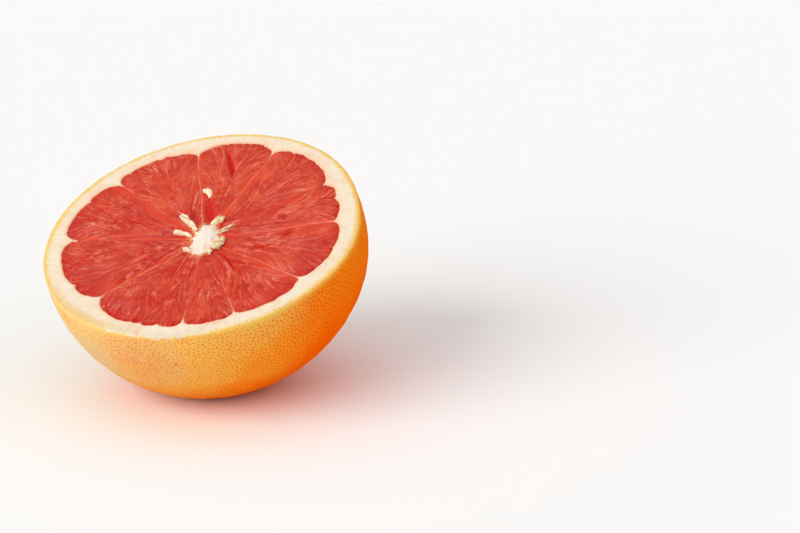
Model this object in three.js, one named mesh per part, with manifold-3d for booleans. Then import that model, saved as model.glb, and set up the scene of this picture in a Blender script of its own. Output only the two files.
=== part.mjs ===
// Half a red grapefruit, cut across its middle: a bowl of coloured rind, the white pith inside it with
// the core, the membranes and the undeveloped seeds, and eleven pulp segments in the pockets between.
// Millimetres, +Z up. The fruit leans a little and rests on a small flat spot, whose centre is the origin.
// Everything is shaped in the fruit's own frame first: its origin is the middle of the whole fruit, and
// +Z runs along the core, out through the cut face.
import * as THREE from "three";
import { mergeVertices } from "three/addons/utils/BufferGeometryUtils.js";
import Module from "manifold-3d";

// Driving dimensions, in millimetres and degrees
const fruitRadius = 52;
const cutAboveMiddle = 2.6; // the knife passed this far above the widest section
const rindThickness = 1.4;
const pulpBallRadius = 46; // the ball that the segments fill
const pulpDepth = 45; // how far the segments reach below the cut
const coreRadius = 4.6;
const coreAtCut = new THREE.Vector2(0, -5.5); // the core isn't quite in the middle of the cut
const membraneThickness = 0.8;
const clearance = 0.3; // kept between neighbouring pieces
const lean = 22; // of the fruit's axis from upright
const leanTowards = -112; // compass direction of the lean, from +X towards +Y
const flatDepth = 1.7; // how much the underside is flattened

// A grown skin is never quite round: it swells in broad waves and is drawn in at the blossom end
const swells = [
  { height: 0.3, waves: 2, from: 26 },
  { height: 0.22, waves: 3, from: -13 },
];
const blossomEnd = { depth: 1.1, radius: 8 };
// One side is drawn in towards the cut: how deep, where, how wide in degrees, and from how far below
const drawnSide = { depth: 2.6, at: 7, width: 32, height: 23.4, steepness: 1.4 };

// The membranes between the segments: each one's direction, and how deep the pith cuts in at its end
const membranes = [
  { angle: 1, notch: 2 },
  { angle: 29, notch: 3.5 },
  { angle: 64, notch: 4.5 },
  { angle: 95.5, notch: 5 },
  { angle: 130, notch: 2.5 },
  { angle: 171, notch: 3 },
  { angle: 216, notch: 6 },
  { angle: 244, notch: 1.2 },
  { angle: 264, notch: 3 },
  { angle: 288, notch: 1.5 },
  { angle: 322, notch: 2.5 },
];
// Each segment's outer wall, from the fruit's axis, and the small clefts that part it into lobes
const segments = [
  { wall: 43.9, clefts: [17] },
  { wall: 46.1, clefts: [] },
  { wall: 46.5, clefts: [] },
  { wall: 46.1, clefts: [] },
  { wall: 46.8, clefts: [146] },
  { wall: 46.2, clefts: [201] },
  { wall: 46.4, clefts: [] },
  { wall: 47, clefts: [251] },
  { wall: 46.6, clefts: [] },
  { wall: 46.2, clefts: [] },
  { wall: 45.1, clefts: [] },
];
const cleftDepth = 1.3;
const notchWidth = 2.4; // a notch or cleft fades out over about this length of the wall
// The juice sacs swell out of the cut: how far the rim lies below it, and the ridges that fan out
const pulpTop = { sink: 0.5, swell: 0.6, ridges: 26, ridgeShare: 0.25, twistPerMm: 0.12 };

// Undeveloped seeds on the core: direction, length, breadth, thickness, and how steeply each rises
const seeds = [
  { angle: 118, length: 9, breadth: 2.2, thickness: 1.2, rise: 24 },
  { angle: 152, length: 7.5, breadth: 2.4, thickness: 1.3, rise: 20 },
  { angle: 208, length: 4.5, breadth: 2.4, thickness: 1.3, rise: 24 },
  { angle: 298, length: 6.5, breadth: 2.6, thickness: 1.5, rise: 22 },
  { angle: 330, length: 5.5, breadth: 2.8, thickness: 1.5, rise: 26 },
  { angle: 18, length: 8, breadth: 1.3, thickness: 1.1, rise: 22 },
  { angle: 55, length: 5.5, breadth: 2.8, thickness: 1.6, rise: 28 },
];
const seedRoot = { fromMiddle: 2.4, belowCut: 0.7 }; // where in the core each one starts

// How finely the surfaces are divided
const ballSides = 44;
const ballRings = 24;
const seedSides = 8;
const seedRings = 6;
const sideSteps = 4; // along each membrane
const wallSteps = 14; // along each segment's outer wall
const depthSteps = 6;
const topRings = [0.3, 0.58, 0.82]; // shrunk outlines of a segment's top, from its middle outwards
const innermost = 0.1; // where the steps along a membrane start, as a share of its length

const slabSide = 4 * fruitRadius; // of the blocks that trim the fruit
const pocketOpening = 1; // how far a pocket's cutting shape stands out of the cut

const wasm = await Module();
wasm.setup();
const radians = THREE.MathUtils.degToRad;

// From a direction given in degrees to an angle, the shorter way round, in radians
function turnFrom(degrees, angle) {
  const turn = angle - radians(degrees);
  return Math.atan2(Math.sin(turn), Math.cos(turn));
}

// A closed geometry as a solid that can be joined and cut
function solid(geometry) {
  const bare = geometry.clone();
  bare.deleteAttribute("normal");
  bare.deleteAttribute("uv");
  const merged = mergeVertices(bare, 1e-4);
  return new wasm.Manifold(
    new wasm.Mesh({
      numProp: 3,
      vertProperties: merged.attributes.position.array,
      triVerts: new Uint32Array(merged.index.array),
    }),
  );
}

// A solid as a named mesh
function meshOf(name, shape, material) {
  const { vertProperties, triVerts } = shape.getMesh();
  const geometry = new THREE.BufferGeometry();
  geometry.setAttribute("position", new THREE.BufferAttribute(vertProperties, 3));
  geometry.setIndex(new THREE.BufferAttribute(triVerts, 1));
  geometry.computeVertexNormals();
  const mesh = new THREE.Mesh(geometry, material);
  mesh.name = name;
  return mesh;
}

// The fruit leans in this group, with its flat spot on the ground
const fruit = new THREE.Group();
const axis = new THREE.Vector3(
  Math.sin(radians(lean)) * Math.cos(radians(leanTowards)),
  Math.sin(radians(lean)) * Math.sin(radians(leanTowards)),
  Math.cos(radians(lean)),
);
fruit.quaternion.setFromUnitVectors(new THREE.Vector3(0, 0, 1), axis);
fruit.position.z = fruitRadius - flatDepth;
fruit.updateMatrix();

// How far the skin is from the middle of the fruit, in a direction
function skinRadius(direction) {
  const round = Math.atan2(direction.y, direction.x);
  const waist = 1 - direction.z ** 2;
  const wave = ({ height, waves, from }) => height * Math.cos(waves * (round - radians(from))) * waist;
  const fromEnd = fruitRadius * Math.sqrt(2 * (1 + direction.z));
  const dip = blossomEnd.depth * Math.exp(-((fromEnd / blossomEnd.radius) ** 2));
  const { depth, at, width, height, steepness } = drawnSide;
  const rise = 1 + (fruitRadius * direction.z - cutAboveMiddle) / height;
  const aside = turnFrom(at, round) / radians(width);
  const drawn = depth * THREE.MathUtils.clamp(rise, 0, 1) ** steepness * Math.exp(-(aside ** 2));
  return swells.reduce((sum, swell) => sum + wave(swell), fruitRadius - dip - drawn);
}

// The whole fruit's outside, moved inwards by inset
function ball(inset) {
  const sphere = new THREE.SphereGeometry(1, ballSides, ballRings).rotateX(Math.PI / 2);
  const place = sphere.attributes.position;
  const direction = new THREE.Vector3();
  for (let i = 0; i < place.count; i++) {
    direction.fromBufferAttribute(place, i).normalize();
    direction.multiplyScalar(skinRadius(direction) - inset);
    place.setXYZ(i, direction.x, direction.y, direction.z);
  }
  return solid(sphere);
}

// Everything above the knife's cut
function aboveCut() {
  const slab = new THREE.BoxGeometry(slabSide, slabSide, slabSide);
  return solid(slab.translate(0, 0, cutAboveMiddle + slabSide / 2));
}

// Everything lower than a height above the ground, in the fruit's frame
function below(height) {
  const slab = new THREE.BoxGeometry(slabSide, slabSide, slabSide);
  slab.translate(0, 0, height - slabSide / 2);
  return solid(slab.applyMatrix4(fruit.matrix.clone().invert()));
}

// How much narrower the ball of pulp is at a depth below the cut than at the cut
function narrowing(depth) {
  const width = (down) => Math.sqrt(pulpBallRadius ** 2 - (down - cutAboveMiddle) ** 2);
  return width(depth) / width(0);
}

function nextMembrane(index) {
  return membranes[(index + 1) % membranes.length];
}

// Distance at the cut from the core to a segment's outer wall, in a direction given in radians
function reach(index, angle) {
  const { wall, clefts } = segments[index];
  const along = coreAtCut.x * Math.cos(angle) + coreAtCut.y * Math.sin(angle);
  const free = -along + Math.sqrt(wall ** 2 - coreAtCut.lengthSq() + along ** 2);
  const closing = (at) => Math.exp((-Math.abs(turnFrom(at, angle)) * free) / notchWidth);
  const notches = [membranes[index], nextMembrane(index)].map((m) => m.notch * closing(m.angle));
  const folds = clefts.map((at) => cleftDepth * closing(at));
  return [...notches, ...folds].reduce((rest, depth) => rest - depth, free);
}

// A segment's outline at a depth, counter-clockwise; grow widens it into the pocket that it lies in
function outline(index, depth, grow) {
  const start = radians(membranes[index].angle);
  const span = radians((nextMembrane(index).angle - membranes[index].angle + 360) % 360);
  const aside = membraneThickness / 2 + clearance - grow;
  const inner = coreRadius + clearance - grow;
  const scale = narrowing(depth);
  const place = (angle, side, share) => {
    const far = Math.max(inner, share * (reach(index, angle) * scale + grow));
    const along = new THREE.Vector2(Math.cos(angle), Math.sin(angle));
    const across = new THREE.Vector2(-along.y, along.x).multiplyScalar(side * aside);
    return along.multiplyScalar(far).add(across).addScaledVector(coreAtCut, scale);
  };
  const shares = Array.from({ length: sideSteps }, (_, i) => innermost + ((1 - innermost) * i) / sideSteps);
  const points = shares.map((share) => place(start, 1, share));
  for (let i = 0; i <= wallSteps; i++) {
    const turned = i / wallSteps;
    points.push(place(start + turned * span, 1 - 2 * turned, 1));
  }
  points.push(...shares.reverse().map((share) => place(start + span, -1, share)));
  return points;
}

// A closed solid through a stack of rings of equal length, from the top one down, with a point at each end
function stack(rings, top, bottom) {
  const count = rings[0].length;
  const places = [...rings.flat(), top, bottom];
  const [topPoint, bottomPoint] = [places.length - 2, places.length - 1];
  const lastRing = (rings.length - 1) * count;
  const faces = [];
  for (let i = 0; i < count; i++) {
    const j = (i + 1) % count;
    faces.push(topPoint, i, j);
    for (let upper = 0; upper < lastRing; upper += count) {
      const lower = upper + count;
      faces.push(upper + i, lower + i, lower + j);
      faces.push(upper + i, lower + j, upper + j);
    }
    faces.push(bottomPoint, lastRing + j, lastRing + i);
  }
  const geometry = new THREE.BufferGeometry().setFromPoints(places);
  geometry.setIndex(faces);
  return solid(geometry);
}

function middleOf(ring) {
  return ring.reduce((sum, p) => sum.add(p), new THREE.Vector3()).divideScalar(ring.length);
}

// The sides of a segment or of its pocket, as rings from topHeight down to the segment's foot
function sideRings(index, topHeight, grow) {
  const rings = [];
  for (let step = 0; step <= depthSteps; step++) {
    const depth = pulpDepth * Math.sin(((step / depthSteps) * Math.PI) / 2);
    const height = step ? cutAboveMiddle - depth - grow : topHeight;
    rings.push(outline(index, depth, grow).map((p) => new THREE.Vector3(p.x, p.y, height)));
  }
  return rings;
}

// How high the juice sacs stand above a segment's rim, in low ridges that fan out from the core
function swelling(index, point) {
  const { swell, ridges, ridgeShare, twistPerMm } = pulpTop;
  const fromCore = new THREE.Vector2(point.x, point.y).sub(coreAtCut);
  const ridge = Math.cos(ridges * fromCore.angle() + twistPerMm * fromCore.length() + index);
  return swell * (1 - ridgeShare + ridgeShare * ridge);
}

function pulp(index) {
  const sides = sideRings(index, cutAboveMiddle - pulpTop.sink, 0);
  const crown = middleOf(sides[0]);
  const tops = topRings.map((share) =>
    sides[0].map((rimPoint) => {
      const point = crown.clone().lerp(rimPoint, share);
      point.z += swelling(index, point);
      return point;
    }),
  );
  crown.z += pulpTop.swell;
  return stack([...tops, ...sides], crown, middleOf(sides.at(-1)));
}

function pocket(index) {
  const sides = sideRings(index, cutAboveMiddle + pocketOpening, clearance);
  return stack(sides, middleOf(sides[0]), middleOf(sides.at(-1)));
}

// A flat, shrunken seed that grew on the core and was lifted by the knife
function seed({ angle, length, breadth, thickness, rise }) {
  const chip = new THREE.SphereGeometry(0.5, seedSides, seedRings).scale(length, breadth, thickness);
  chip.translate(length / 2, 0, 0).rotateY(-radians(rise));
  chip.translate(seedRoot.fromMiddle, 0, -seedRoot.belowCut).rotateZ(radians(angle));
  return solid(chip.translate(coreAtCut.x, coreAtCut.y, cutAboveMiddle));
}

function rind() {
  const inside = ball(rindThickness).subtract(below(rindThickness));
  return ball(0).subtract(below(0)).subtract(aboveCut()).subtract(inside);
}

function pith() {
  const inset = rindThickness + clearance;
  let bowl = ball(inset).subtract(below(inset)).subtract(aboveCut());
  segments.forEach((_, index) => (bowl = bowl.subtract(pocket(index))));
  seeds.forEach((one) => (bowl = bowl.add(seed(one))));
  return bowl;
}

const waxyRind = new THREE.MeshStandardMaterial({ color: 0xe8963a, roughness: 0.45, metalness: 0 });
const spongyPith = new THREE.MeshStandardMaterial({ color: 0xf6e6cc, roughness: 0.85, metalness: 0 });
const wetPulp = new THREE.MeshStandardMaterial({ color: 0xd8402c, roughness: 0.25, metalness: 0 });

fruit.add(meshOf("rind", rind(), waxyRind));
fruit.add(meshOf("pith", pith(), spongyPith));
segments.forEach((_, index) => {
  const name = "segment_" + String(index + 1).padStart(2, "0");
  fruit.add(meshOf(name, pulp(index), wetPulp));
});

const half = new THREE.Group();
half.add(fruit);
export default half;
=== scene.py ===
import math

import bmesh
import bpy
import numpy as np
from mathutils import Euler, Matrix, Vector, kdtree


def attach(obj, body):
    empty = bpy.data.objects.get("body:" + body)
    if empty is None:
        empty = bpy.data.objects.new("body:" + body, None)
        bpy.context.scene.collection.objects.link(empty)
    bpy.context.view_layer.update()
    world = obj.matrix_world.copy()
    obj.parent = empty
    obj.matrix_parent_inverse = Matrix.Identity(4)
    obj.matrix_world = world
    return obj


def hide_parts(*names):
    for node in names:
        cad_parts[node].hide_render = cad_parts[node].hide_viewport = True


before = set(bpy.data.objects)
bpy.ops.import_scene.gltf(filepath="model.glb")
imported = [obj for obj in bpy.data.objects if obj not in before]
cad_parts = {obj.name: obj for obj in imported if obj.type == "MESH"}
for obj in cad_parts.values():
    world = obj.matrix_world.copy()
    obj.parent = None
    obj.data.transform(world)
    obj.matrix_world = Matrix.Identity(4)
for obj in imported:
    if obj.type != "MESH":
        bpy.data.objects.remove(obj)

scene = bpy.context.scene
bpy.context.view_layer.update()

# The fruit's own frame is in millimetres: its origin is the middle of the whole fruit, and +Z comes out of
# the cut
fruit = {
    "radius": 52.0,
    "cutHeight": 2.6,
    "flatDepth": 1.7,
    "flatRound": 0.3,
    "seam": 1e-4,  # points nearer than this are merged
    "lean": 22.0,
    "leanTowards": -112.0,
    "coreX": 0.0,
    "coreY": -5.5,
    "peel": 1.0,  # the coloured skin
    "pulpBall": 46.0,
    "swells": ((0.3, 2, 26), (0.22, 3, -13)),  # height, waves round the fruit, where the first one is
    "blossomDepth": 1.1,
    "blossomRadius": 8.0,
}

# One side is drawn in towards the cut
drawnSide = {"depth": 2.6, "at": 7, "width": 32, "height": 23.4, "steepness": 1.4}

# Each segment: where it starts, how clearly the membrane there shows near the core, half-way and near the
# pith, its outer wall, how deep the pith notches in at both ends and how soon that fades, clefts in the wall,
# and the smooth bands along both membranes
segmentWords = ("angle", "shows", "wall", "notches", "clefts", "bands")
segmentRows = [
    (1, (0.1, 0.8, 0.9), 43.8, (1.8, 4.5, 2.3, 2.0), [17], (1.5, 1.0)),
    (29, (0.3, 0.1, 0.3), 46.3, (4.5, 7.5, 4.2, 2.8), [], (0.5, 2.5)),
    (64, (0.8, 0.7, 0.7), 46.7, (4.2, 3.0, 5.0, 4.0), [], (1.2, 1.5)),
    (95.5, (0.9, 0.75, 0.7), 45.9, (3.9, 4.6, 3.6, 1.6), [], (0.5, 0.5)),
    (130, (0.45, 0.4, 0.5), 46.7, (4.4, 3.4, 4.4, 2.0), [144.5], (5.0, 0.5)),
    (169, (0.3, 0.12, 0.5), 46.3, (3.8, 2.4, 4.6, 4.2), [201], (0.8, 1.2)),
    (216, (0.5, 1.0, 0.25), 47.3, (6.2, 5.0, 0.6, 2.0), [], (0.5, 0.8)),
    (245, (0.1, 0.1, 0.4), 47.6, (1.2, 1.5, 2.2, 1.5), [253], (0.8, 0.5)),
    (264, (0.5, 0.35, 0.7), 47.1, (1.8, 1.2, 1.9, 1.8), [], (0.5, 0.8)),
    (286.5, (0.2, 0.5, 0.9), 46.9, (1.8, 2.6, 3.2, 4.5), [], (0.5, 3.5)),
    (320.5, (0.35, 0.7, 0.8), 45.8, (2.0, 3.8, 3.6, 5.6), [], (0.5, 2.0)),
]
segments = [dict(zip(segmentWords, row)) for row in segmentRows]
wallShape = {"cleftDepth": 1.4, "cleftWidth": 1.5, "wavering": [(0.18, 4.0, 5)]}

# Depths below the cut at which the sides of the pulp, the membranes and the pith are shaped
depthLayers = (0.0, 0.9, 8.0, 18.0, 28.0, 36.0, 42.0, 45.0)

millimetre = 0.001


def fruitPlace():
    lean = math.radians(fruit["lean"])
    towards = math.radians(fruit["leanTowards"])
    axis = Vector((math.sin(lean) * math.cos(towards), math.sin(lean) * math.sin(towards), math.cos(lean)))
    turn = Vector((0, 0, 1)).rotation_difference(axis).to_matrix().to_4x4()
    middle = Vector((0, 0, (fruit["radius"] - fruit["flatDepth"]) * millimetre))
    return Matrix.Translation(middle) @ turn @ Matrix.Scale(millimetre, 4)


def linear(hexColour):
    parts = [int(hexColour[i : i + 2], 16) / 255 for i in (1, 3, 5)]
    return [p / 12.92 if p <= 0.04045 else ((p + 0.055) / 1.055) ** 2.4 for p in parts] + [1.0]


# Smooth random fields added up. Each has a strength, the width of its features in millimetres and a seed
field = {"waves": 9, "frequencies": (0.5, 1.3), "divideBy": 3.2}


def wander(x, y, fields, z=0.0):
    total = 0.0
    for strength, width, seed in fields:
        random = np.random.default_rng(seed)
        waves = 0.0
        for _ in range(field["waves"]):
            turn, tilt, phase = random.uniform(0, 2 * math.pi, 3)
            frequency = 2 * math.pi / width * random.uniform(*field["frequencies"])
            way = x * math.cos(turn) + y * math.sin(turn) + z * math.sin(tilt)
            waves = waves + np.sin(frequency * way + phase)
        total = total + strength * (waves / field["divideBy"])
    return total


# Falls off on both sides of nought
def bell(value, width):
    return np.exp(-((value / width) ** 2))


# Falls off from nought upwards
def fading(distance, width):
    return np.exp(-np.maximum(distance, 0) / width)


def eased(share):
    return share * share * (3 - 2 * share)


def turnFrom(angle, degrees):
    away = angle - math.radians(degrees)
    return np.arctan2(np.sin(away), np.cos(away))


# Distance from a point on the fruit's axis plane to a circle round the axis, in a direction
def farTo(radius, angle, scale=1.0):
    cx, cy = fruit["coreX"] * scale, fruit["coreY"] * scale
    along = cx * np.cos(angle) + cy * np.sin(angle)
    return -along + np.sqrt(np.maximum(radius**2 - cx**2 - cy**2 + along**2, 0.0))


# A point at a distance from the core in a direction, and a little to the left of that
def fromCoreTo(far, angle, scale=1.0, left=0.0):
    x = fruit["coreX"] * scale + far * np.cos(angle) - left * np.sin(angle)
    y = fruit["coreY"] * scale + far * np.sin(angle) + left * np.cos(angle)
    return x, y


# How far the skin stands off a true ball, at an angle round the fruit and a height above its middle
def skinSwell(roundAngle, height):
    waves = sum(h * np.cos(n * (roundAngle - math.radians(start))) for h, n, start in fruit["swells"])
    rise = np.clip(1 + (height - fruit["cutHeight"]) / drawnSide["height"], 0, 1) ** drawnSide["steepness"]
    drawn = rise * bell(turnFrom(roundAngle, drawnSide["at"]), math.radians(drawnSide["width"]))
    return waves * (1 - (height / fruit["radius"]) ** 2) - drawnSide["depth"] * drawn


def nextAngle(index):
    return segments[(index + 1) % len(segments)]["angle"] + (360 if index == len(segments) - 1 else 0)


# Distance from the core to a segment's outer wall at the cut, notched by the pith where membranes end
def wallReach(index, angle):
    one = segments[index]
    free = farTo(one["wall"], angle)
    startDepth, startWidth, endDepth, endWidth = one["notches"]
    fromStart = np.abs(turnFrom(angle, one["angle"])) * free
    fromEnd = np.abs(turnFrom(angle, nextAngle(index))) * free
    pith = startDepth * fading(fromStart, startWidth) + endDepth * fading(fromEnd, endWidth)
    for cleft in one["clefts"]:
        fromCleft = np.abs(turnFrom(angle, cleft)) * free
        pith = pith + wallShape["cleftDepth"] * fading(fromCleft, wallShape["cleftWidth"])
    return free - pith - wander(free * np.cos(angle), free * np.sin(angle), wallShape["wavering"])


def narrowing(depth):
    ball = fruit["pulpBall"]
    return np.sqrt(ball**2 - (depth - fruit["cutHeight"]) ** 2) / math.sqrt(ball**2 - fruit["cutHeight"] ** 2)


# Smooth white core: dry and even, with faint tan fibres to its edge
core = {
    "across": 4.0,
    "along": 7.4,
    "alongTowards": 80.0,
    "asideX": 0.4,  # where its middle lies, from where the membranes meet
    "asideY": -0.1,
    "point": 0.9,  # how far each star point reaches into its membrane
    "pointWidth": 0.7,
    "uneven": [(0.12, 2, 33)],
    "dome": 0.9,
    "bumps": [(0.07, 2.5, 34)],
    "edgeDrop": 0.1,
    "columns": 300,
    "rings": 20,
    "colour": "#E9DED2",
    "shade": "#E2C09A",
    "finish": {
        "Roughness": 0.6,
        "IOR": 1.4,
        "Subsurface Weight": 0.5,
        "Subsurface Radius": (1.0, 0.7, 0.5),
        "Subsurface Scale": 0.0015,
    },
}


def coreOutline(angle):
    turned = angle - math.radians(core["alongTowards"])
    oval = 1 / np.sqrt((np.cos(turned) / core["along"]) ** 2 + (np.sin(turned) / core["across"]) ** 2)
    oval = oval + core["asideX"] * np.cos(angle) + core["asideY"] * np.sin(angle)
    for one in segments:
        oval = oval + core["point"] * bell(turnFrom(angle, one["angle"]) * 5, core["pointWidth"])
    return oval


# Wet membrane: a thin skin between two segments, which shows pale where it stands clear of the pulp
membrane = {
    "columns": 6,
    "stations": 120,
    "thin": 0.16,  # half the thickness in the middle of its length
    "atCore": 0.22,  # thicker by this there, and how soon that fades
    "coreEdge": 5.0,
    "coreFade": 2.0,
    "atPith": 0.35,
    "pithFade": 1.0,
    "seenAt": (9, 25, 41),  # distances from the core at which a segment's three numbers hold
    "patches": [(0.35, 6, 90)],  # it shows more clearly in some places than in others
    "underCore": 1.5,  # how far its ends reach under the core and into the pith
    "intoPith": 0.6,
    "faint": "#D4472D",
    "colour": "#E88365",
    "pale": "#F6DEC6",
    "tan": "#F0B07C",
    "finish": {
        "Roughness": 0.4,
        "IOR": 1.38,
        "Specular IOR Level": 0.25,
        "Subsurface Weight": 0.4,
        "Subsurface Radius": (1.0, 0.5, 0.35),
        "Subsurface Scale": 0.001,
    },
}


def membraneHalf(far, reach):
    nearCore = membrane["atCore"] * fading(far - membrane["coreEdge"], membrane["coreFade"])
    nearPith = membrane["atPith"] * fading(reach - far, membrane["pithFade"])
    return membrane["thin"] + nearCore + nearPith


# How clearly the membrane in front of a segment shows, 0 to 1
def clarity(index, far):
    one = segments[index % len(segments)]
    patches = wander(far, one["angle"] * 0.7, membrane["patches"])
    return np.clip(np.interp(far, membrane["seenAt"], one["shows"]) * (1 + patches), 0, 1)


# The cut face isn't ruled: walls and membranes stray a little to the side, less towards the peel
straying = {
    "toX": [(0.25, 22, 11), (0.06, 5, 13)],
    "toY": [(0.25, 22, 12), (0.06, 5, 14)],
    "endsAt": 47,
    "endsOver": 12,
}


def stray(x, y):
    fade = np.clip((straying["endsAt"] - np.hypot(x, y)) / straying["endsOver"], 0, 1)
    return x + fade * wander(x, y, straying["toX"]), y + fade * wander(x, y, straying["toY"])


# A unit sheet: u runs along it, v across. Its rim can be drawn out in steps, and the end of them closed
def sheetMesh(name, columns, rows, steps=0, way=-1, endInTriangles=True):
    sheet = bmesh.new()
    bmesh.ops.create_grid(sheet, x_segments=columns, y_segments=rows, size=0.5)
    bmesh.ops.translate(sheet, verts=sheet.verts, vec=(0.5, 0.5, 0))
    # the rim's points in order round the middle, so that each run gives the same faces
    rim = [point for point in sheet.verts if point.is_boundary]
    rim.sort(key=lambda point: math.atan2(point.co.y - 0.5, point.co.x - 0.5))
    for step in range(steps):
        further = [sheet.verts.new((point.co.x, point.co.y, way * (step + 1))) for point in rim]
        for k in range(len(rim)):
            sheet.faces.new((rim[k - 1], rim[k], further[k], further[k - 1]))
        rim = further
    if steps:
        end = sheet.faces.new(rim)
        if endInTriangles:
            bmesh.ops.triangulate(sheet, faces=[end])
    mesh = bpy.data.meshes.new(name)
    sheet.to_mesh(mesh)
    sheet.free()
    return mesh


def directionsOf(places):
    return places / np.linalg.norm(places, axis=1)[:, None]


def searchTree(places):
    tree = kdtree.KDTree(len(places))
    for number, place in enumerate(places):
        tree.insert(place, number)
    tree.balance()
    return tree


def placesOf(mesh):
    flat = np.empty(len(mesh.vertices) * 3, np.float32)
    mesh.vertices.foreach_get("co", flat)
    return flat.reshape(-1, 3).astype(float)


def setPlaces(mesh, x, y, z):
    mesh.vertices.foreach_set("co", np.stack([x, y, z], 1).astype(np.float32).ravel())
    mesh.update()


# Numbers or vectors that the materials read, one for each point or for each corner of a face
def setAttributes(mesh, domain="POINT", **each):
    for name, values in each.items():
        kind, field = ("FLOAT_VECTOR", "vector") if values.ndim == 2 else ("FLOAT", "value")
        attribute = mesh.attributes.new(name, kind, domain)
        attribute.data.foreach_set(field, values.astype(np.float32).ravel())


# Merges the seam and the ends, and turns every face outwards
def closeMesh(mesh):
    shell = bmesh.new()
    shell.from_mesh(mesh)
    bmesh.ops.remove_doubles(shell, verts=shell.verts, dist=fruit["seam"])
    bmesh.ops.recalc_face_normals(shell, faces=shell.faces)
    shell.to_mesh(mesh)
    shell.free()


# The fruit's weight presses its underside flat, at a height above the table, with a rounded edge
def pressFlat(mesh, lowest):
    x, y, z = placesOf(mesh).T
    above = z - lowest * millimetre
    rounding = fruit["flatRound"] * millimetre
    setPlaces(mesh, x, y, z + 0.5 * (np.sqrt(above**2 + rounding**2) - above))


def addObject(name, data):
    added = bpy.data.objects.new(name, data)
    scene.collection.objects.link(added)
    return added


def addPiece(mesh, material, nodes, lowest=None):
    closeMesh(mesh)
    setAttributes(mesh, fruitPlace=placesOf(mesh))
    mesh.transform(fruitPlace())
    if lowest is not None:
        pressFlat(mesh, lowest)
    mesh.shade_smooth()
    mesh.materials.append(material)
    piece = addObject(mesh.name, mesh)
    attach(piece, "root")
    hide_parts(*nodes)


# Adds a node and gives its outputs. Each setting is a property, or a socket's value by name or number
def addNode(tree, kind, settings, links, leadsTo=None):
    node = tree.nodes.new("ShaderNode" + kind)
    for key, value in settings.items():
        if isinstance(key, int) or key in node.inputs:
            node.inputs[key].default_value = value
        else:
            setattr(node, key, value)
    for socket, source in links.items():
        tree.links.new(source, node.inputs[socket])
    if leadsTo:
        tree.links.new(node.outputs[0], leadsTo)
    return node.outputs


# Starts a material with its finish, and with the numbers and vectors that it reads from the mesh
def newMaterial(name, finish, numbers=(), vectors=()):
    material = bpy.data.materials.new(name)
    material.use_nodes = True
    tree = material.node_tree
    inputs = tree.nodes["Principled BSDF"].inputs
    for socket, value in finish.items():
        inputs[socket].default_value = value
    read = {}
    for output, attributes in (("Fac", numbers), ("Vector", vectors)):
        for attribute in attributes:
            read[attribute] = addNode(tree, "Attribute", {"attribute_name": attribute}, {})[output]
    return material, tree, inputs, read


# A mask is the product of its factors. Each is an output, alone or with the two values that it crosses and
# the strength at both
def maskOf(tree, *factors):
    mask = None
    for factor in factors:
        if isinstance(factor, tuple):
            value, low, high, start, end = factor
            factor = addNode(tree, "MapRange", {1: low, 2: high, 3: start, 4: end}, {0: value})[0]
        if mask:
            factor = addNode(tree, "Math", {"operation": "MULTIPLY"}, {0: mask, 1: factor})[0]
        mask = factor
    return mask


# Adds up values, each times its weight
def sumOf(tree, *terms):
    total = None
    for value, weight in terms:
        links = {0: value, 2: total} if total else {0: value}
        total = addNode(tree, "Math", {"operation": "MULTIPLY_ADD", 1: weight, 2: 0.0}, links)[0]
    return total


# Lays colours over a base one after the other, each where its mask is
def layColours(tree, inputs, base, layers):
    colour = None
    for hexColour, *factors in layers:
        settings = {"data_type": "RGBA", 6: linear(base), 7: linear(hexColour)}
        links = {0: maskOf(tree, *factors)}
        if colour:
            links[6] = colour
        colour = addNode(tree, "Mix", settings, links)[2]
    tree.links.new(colour, inputs["Base Color"])


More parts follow.
